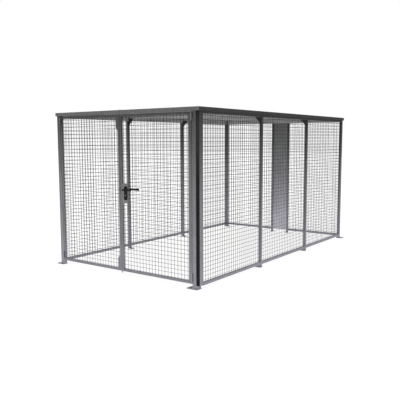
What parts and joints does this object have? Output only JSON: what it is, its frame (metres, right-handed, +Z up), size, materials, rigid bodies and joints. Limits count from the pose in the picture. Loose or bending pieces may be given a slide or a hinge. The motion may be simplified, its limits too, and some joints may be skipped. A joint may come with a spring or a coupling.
{
  "type": "walk-in mesh storage enclosure",
  "caption": "Walk-in storage enclosure of galvanised steel and welded wire mesh, with a solid roof, foot plates and a hinged double leaf door with a lever lock.",
  "frame": {"origin": "on the floor under the middle of the frame's plan", "axes": "+X to the right across the door, +Y from the door end to the rear wall, +Z up"},
  "size_m": [2.515, 4.3155, 2.09],
  "materials": {
    "galvanised_steel": "hot-dip galvanised, matt",
    "zinc_fittings": "zinc plated, satin",
    "black_lock_set": "black, half gloss",
    "black_strip": "black, matt",
    "nickel_plug": "nickel, satin"
  },
  "bodies": {
    "cage": {"back_left_post": "galvanised_steel", "back_right_post": "galvanised_steel", "corner_strip": "black_strip", "front_header": "galvanised_steel", "front_left_post": "galvanised_steel", "front_right_post": "galvanised_steel", "left_beam": "galvanised_steel", "left_hinge_high_fixed": "zinc_fittings", "left_hinge_low_fixed": "zinc_fittings", "left_mesh_1": "zinc_fittings", "left_mesh_2": "zinc_fittings", "left_mesh_3": "zinc_fittings", "left_post_1": "galvanised_steel", "left_post_2": "galvanised_steel", "left_rail_1": "galvanised_steel", "left_rail_2": "galvanised_steel", "left_rail_3": "galvanised_steel", "purlin_front": "galvanised_steel", "purlin_rear": "galvanised_steel", "rear_beam": "galvanised_steel", "rear_mesh_left": "zinc_fittings", "rear_mesh_right": "zinc_fittings", "rear_post_left": "galvanised_steel", "rear_post_right": "galvanised_steel", "rear_rail_left": "galvanised_steel", "rear_rail_right": "galvanised_steel", "rear_wall_sheet": "galvanised_steel", "right_beam": "galvanised_steel", "right_hinge_high_fixed": "zinc_fittings", "right_hinge_low_fixed": "zinc_fittings", "right_mesh_1": "zinc_fittings", "right_mesh_2": "zinc_fittings", "right_mesh_3": "zinc_fittings", "right_post_1": "galvanised_steel", "right_post_2": "galvanised_steel", "right_rail_1": "galvanised_steel", "right_rail_2": "galvanised_steel", "right_rail_3": "galvanised_steel", "roof_left": "galvanised_steel", "roof_right": "galvanised_steel"},
    "passive_leaf": {"left_hinge_high_moving": "zinc_fittings", "left_hinge_low_moving": "zinc_fittings", "passive_leaf_frame": "galvanised_steel", "passive_leaf_mesh": "zinc_fittings"},
    "active_leaf": {"active_leaf_frame": "galvanised_steel", "active_leaf_mesh": "zinc_fittings", "inner_escutcheon": "black_lock_set", "key_cylinder": "black_lock_set", "lock_box": "galvanised_steel", "outer_escutcheon": "black_lock_set", "right_hinge_high_moving": "zinc_fittings", "right_hinge_low_moving": "zinc_fittings"},
    "lever_set": {"inner_lever": "black_lock_set", "outer_lever": "black_lock_set", "spindle": "zinc_fittings"},
    "latch": {"latch_bolt": "zinc_fittings"},
    "lock_bolt": {"dead_bolt": "zinc_fittings"},
    "key_plug_body": {"key_plug": "nickel_plug"},
    "upper_bolt": {"top_bolt": "zinc_fittings"},
    "lower_bolt": {"drop_bolt": "zinc_fittings"}
  },
  "joints": [
    {"name": "active_leaf_hinge", "type": "hinge", "parent": "cage", "child": "active_leaf", "pos_m": [1.0985, -2.1033, 0], "axis": [0, 0, 1], "range_deg": [0, 170]},
    {"name": "passive_leaf_hinge", "type": "hinge", "parent": "cage", "child": "passive_leaf", "pos_m": [-1.1355, -2.1033, 0], "axis": [0, 0, -1], "range_deg": [0, 170]},
    {"name": "lever_turn", "type": "hinge", "parent": "active_leaf", "child": "lever_set", "pos_m": [0.0665, -2.0825, 1.107], "axis": [0, 1, 0], "range_deg": [0, 40], "stiffness_Nm_per_rad": 1.5, "springref_deg": -11.46},
    {"name": "latch_slide", "type": "slide", "parent": "active_leaf", "child": "latch", "axis": [1, 0, 0], "range_m": [0, 0.0125]},
    {"name": "key_turn", "type": "hinge", "parent": "active_leaf", "child": "key_plug_body", "pos_m": [0.0665, -2.0825, 1.035], "axis": [0, 1, 0], "range_deg": [0, 361]},
    {"name": "dead_bolt_slide", "type": "slide", "parent": "active_leaf", "child": "lock_bolt", "axis": [-1, 0, 0], "range_m": [0, 0.02]},
    {"name": "top_bolt_slide", "type": "slide", "parent": "passive_leaf", "child": "upper_bolt", "axis": [0, 0, 1], "range_m": [0, 0.025]},
    {"name": "drop_bolt_slide", "type": "slide", "parent": "passive_leaf", "child": "lower_bolt", "axis": [0, 0, -1], "range_m": [0, 0.026]}
  ],
  "couplings": [
    {"joint": "latch_slide", "follows": "lever_turn", "m_per_rad": 0.01719},
    {"joint": "key_turn", "follows": "dead_bolt_slide", "rad_per_m": 314.16}
  ]
}
